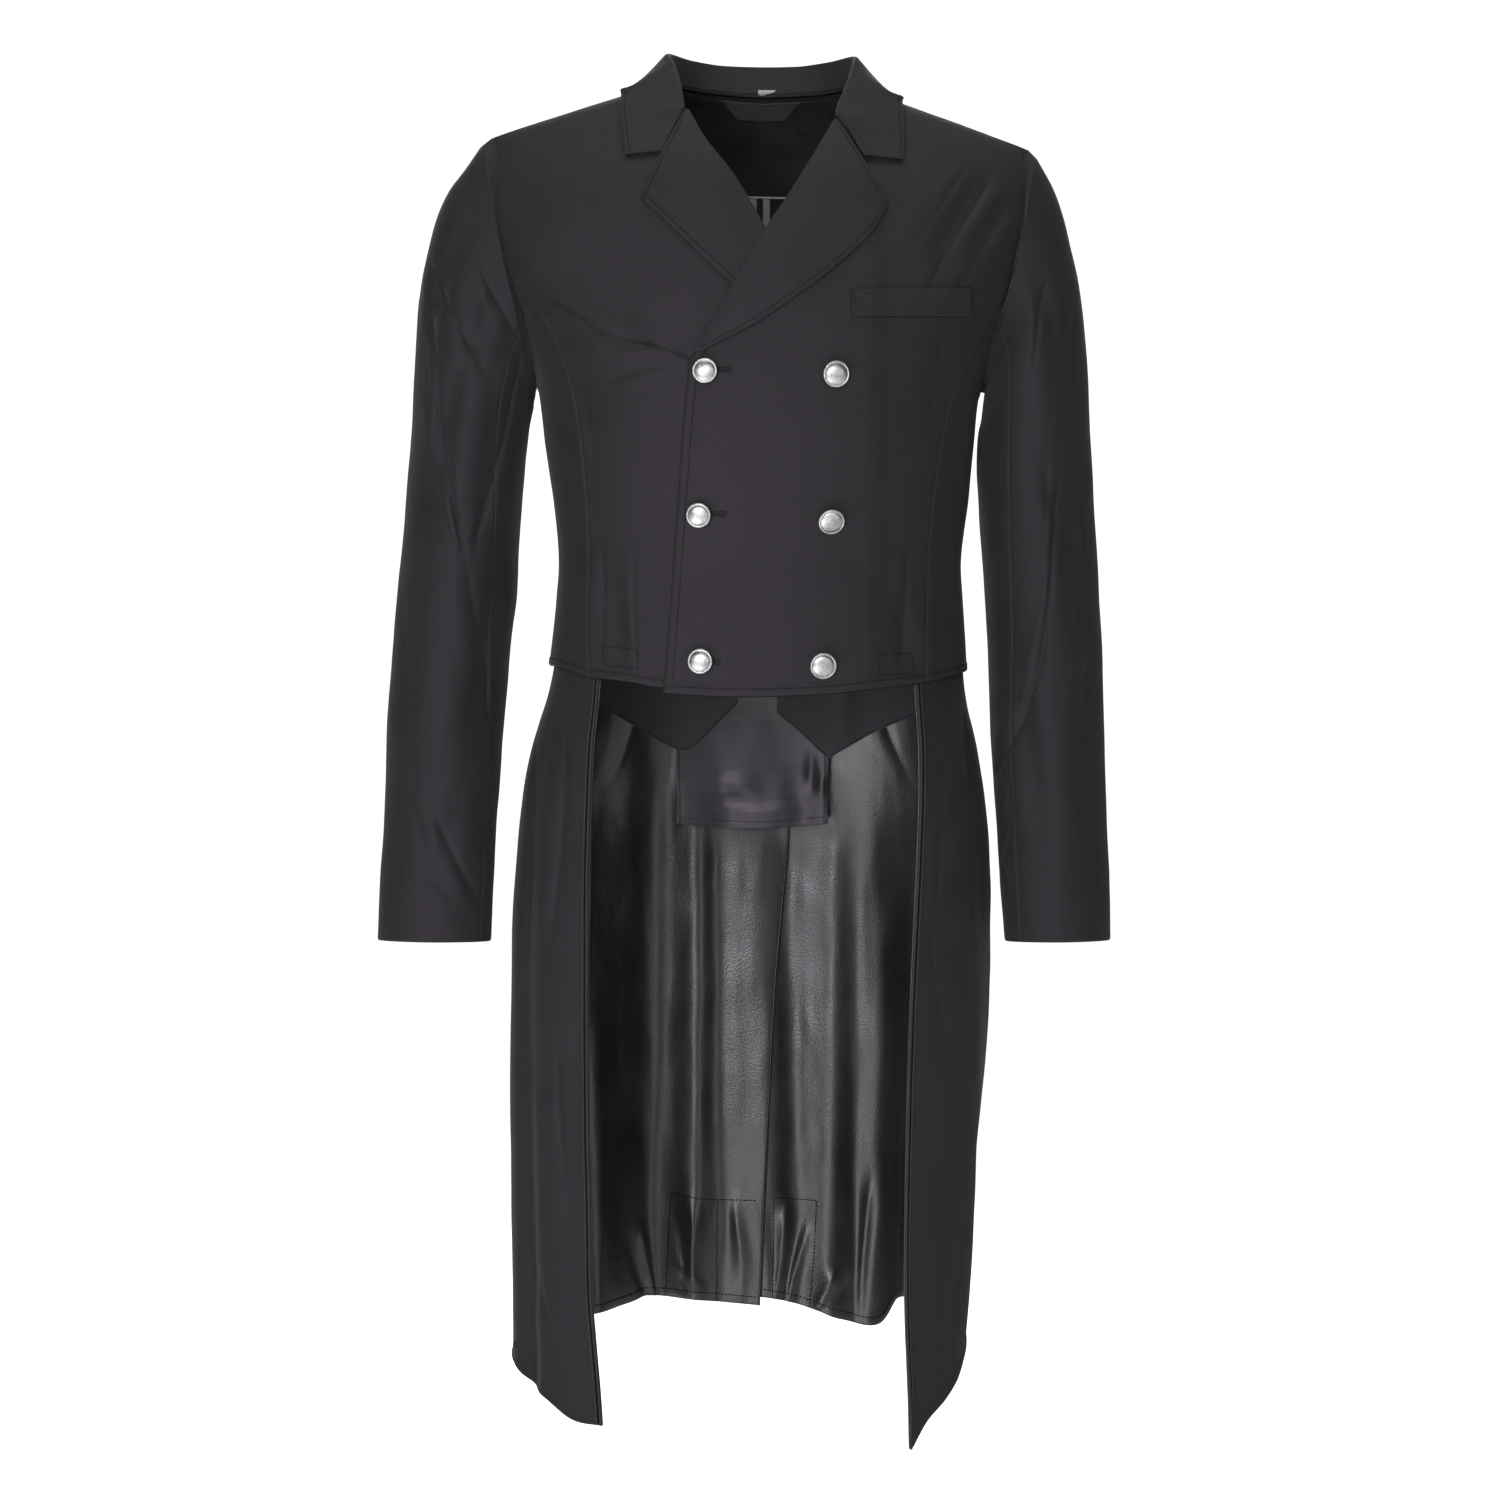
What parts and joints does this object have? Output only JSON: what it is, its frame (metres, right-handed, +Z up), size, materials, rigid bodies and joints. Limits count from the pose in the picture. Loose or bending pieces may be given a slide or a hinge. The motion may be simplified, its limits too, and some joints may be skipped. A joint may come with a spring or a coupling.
{
  "type": "tailcoat",
  "caption": "Men's double-breasted dressage tailcoat in black cloth with notch lapels, metal buttons and long lined tails, hollow and standing as if worn.",
  "frame": {"origin": "Middle of the coat at the height of the shoulder tips, where a wearer's shoulders carry it.", "axes": "+Z up to the collar; -Y out of the coat's front; +X to the wearer's left."},
  "size_m": [0.6105, 0.2632, 1.1623],
  "materials": {
    "cloth": "matte black fine wool-type cloth",
    "lining": "glossy grained black faux leather and smooth black lining",
    "satin": "dark satin",
    "tape": "white woven tape",
    "metal": "domed brushed silver face with a dark rim"
  },
  "bodies": {
    "root": {"front_right": "cloth", "front_left": "cloth", "side_right": "cloth", "side_left": "cloth", "back_right": "cloth", "back_left": "cloth", "lapel_right": "cloth", "lapel_left": "cloth", "topsleeve_right": "cloth", "topsleeve_left": "cloth", "undersleeve_right": "cloth", "undersleeve_left": "cloth", "tail_right": "cloth", "tail_left": "cloth", "tail_lining_right": "lining", "tail_lining_left": "lining", "waist_facing_right": "cloth", "waist_facing_left": "cloth", "collar": "cloth", "inner_flap": "satin", "back_lining": "lining", "neck_label": "satin", "size_tab": "tape", "chest_welt": "cloth", "button_1": "metal", "button_2": "metal", "button_3": "metal", "button_4": "metal", "button_5": "metal", "button_6": "metal"}
  },
  "joints": []
}
